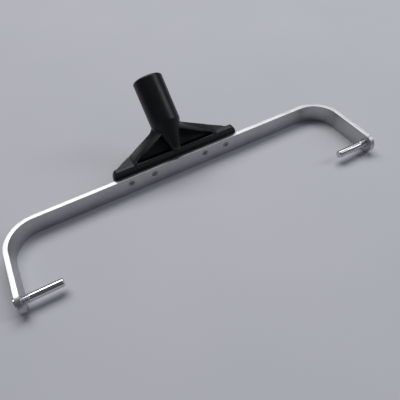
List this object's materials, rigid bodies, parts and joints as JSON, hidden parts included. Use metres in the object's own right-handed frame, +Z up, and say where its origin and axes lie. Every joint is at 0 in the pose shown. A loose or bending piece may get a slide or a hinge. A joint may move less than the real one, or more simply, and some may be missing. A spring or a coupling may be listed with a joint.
{
  "type": "double-arm roller frame",
  "caption": "U-shaped flat-bar roller frame with a tilted moulded handle socket and screw-in roller pins facing each other.",
  "frame": {"origin": "middle of the bar's underside, where the frame rests on a floor", "axes": "+X along the bar, +Y away from the roller pins towards the handle, +Z up"},
  "size_m": [0.4704, 0.1933, 0.1136],
  "materials": {
    "bar": "satin, lightly brushed",
    "socket": "semi-matt moulded",
    "fastener": "zinc plated",
    "pin": "polished"
  },
  "bodies": {
    "frame": {"frame_bar": "bar", "handle_socket": "socket", "bracket_screw_1": "fastener", "bracket_screw_2": "fastener", "bracket_screw_3": "fastener", "bracket_screw_4": "fastener", "bracket_washer_1": "fastener", "bracket_washer_2": "fastener", "bracket_washer_3": "fastener", "bracket_washer_4": "fastener", "bracket_nut_1": "fastener", "bracket_nut_2": "fastener", "bracket_nut_3": "fastener", "bracket_nut_4": "fastener"},
    "left_washer": {"left_pin_washer": "fastener"},
    "right_washer": {"right_pin_washer": "fastener"},
    "left_pin": {"left_pin": "pin"},
    "right_pin": {"right_pin": "pin"}
  },
  "joints": [
    {"name": "left_pin_travel", "type": "slide", "parent": "frame", "child": "left_washer", "axis": [-1, 0, 0], "range_m": [0, 0.0135]},
    {"name": "left_pin_turn", "type": "hinge", "parent": "left_washer", "child": "left_pin", "pos_m": [-0.231, -0.095, 0.0125], "axis": [-1, 0, 0], "range_deg": [0, 3240]},
    {"name": "right_pin_travel", "type": "slide", "parent": "frame", "child": "right_washer", "axis": [1, 0, 0], "range_m": [0, 0.0135]},
    {"name": "right_pin_turn", "type": "hinge", "parent": "right_washer", "child": "right_pin", "pos_m": [0.231, -0.095, 0.0125], "axis": [1, 0, 0], "range_deg": [0, 3240]}
  ],
  "couplings": [
    {"joint": "left_pin_turn", "follows": "left_pin_travel", "rad_per_m": 4188.8},
    {"joint": "right_pin_turn", "follows": "right_pin_travel", "rad_per_m": 4188.8}
  ]
}
